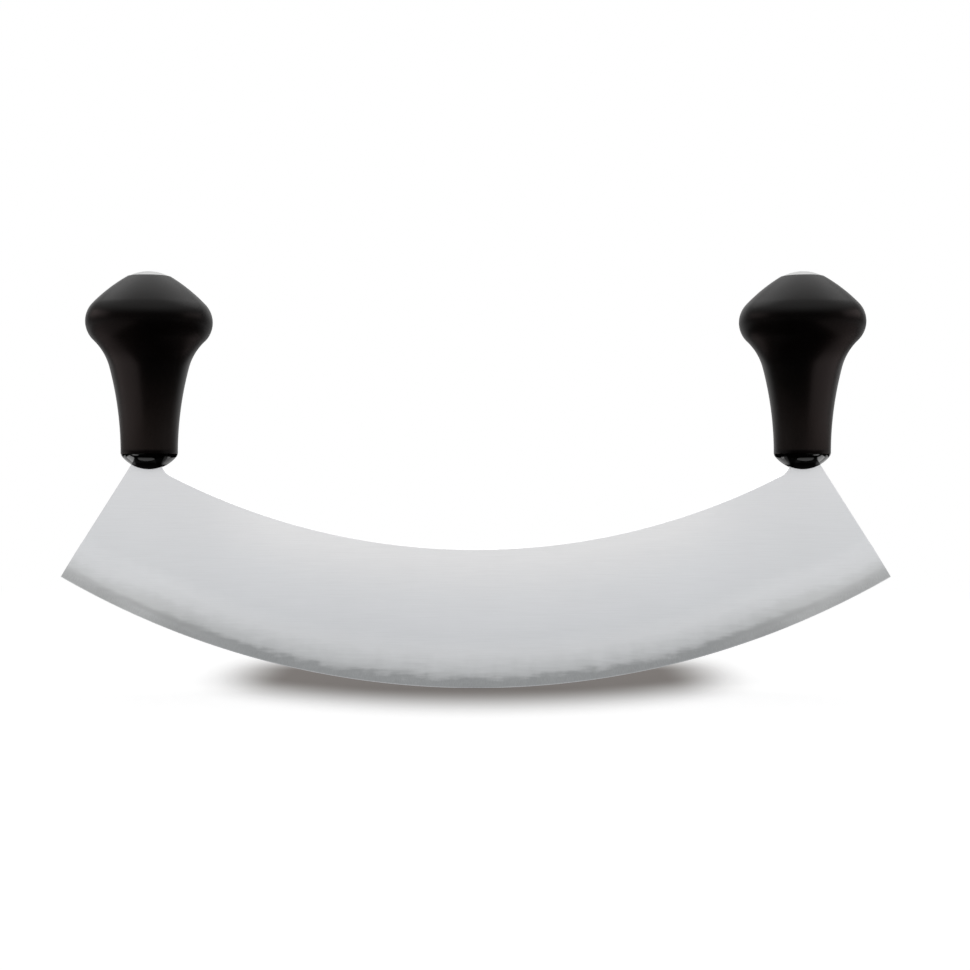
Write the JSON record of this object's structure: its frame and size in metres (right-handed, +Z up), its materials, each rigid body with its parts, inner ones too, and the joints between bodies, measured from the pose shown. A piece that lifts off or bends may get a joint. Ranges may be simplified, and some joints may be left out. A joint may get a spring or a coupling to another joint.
{
  "type": "mezzaluna",
  "caption": "Crescent rocking blade of ground steel with upright turned knob handles, glossy domed ferrules and low domed end nuts.",
  "frame": {"origin": "lowest point of the cutting edge, at the middle of the blade and in its mid-plane, with the knobs upright", "axes": "+X along the blade from tip to tip, +Y across the blade, +Z up along the knobs"},
  "size_m": [0.3, 0.0454, 0.1506],
  "materials": {
    "blade_steel": "satin ground",
    "nut_steel": "satin turned",
    "grip_plastic": "satin",
    "ferrule_plastic": "polished",
    "inner_steel": "plain turned"
  },
  "bodies": {
    "root": {"blade": "blade_steel", "left_ferrule": "ferrule_plastic", "right_ferrule": "ferrule_plastic", "left_grip": "grip_plastic", "right_grip": "grip_plastic", "left_stud": "inner_steel", "right_stud": "inner_steel", "left_rivets": "inner_steel", "right_rivets": "inner_steel", "left_washer": "inner_steel", "right_washer": "inner_steel", "left_dome_nut": "nut_steel", "right_dome_nut": "nut_steel"}
  },
  "joints": []
}
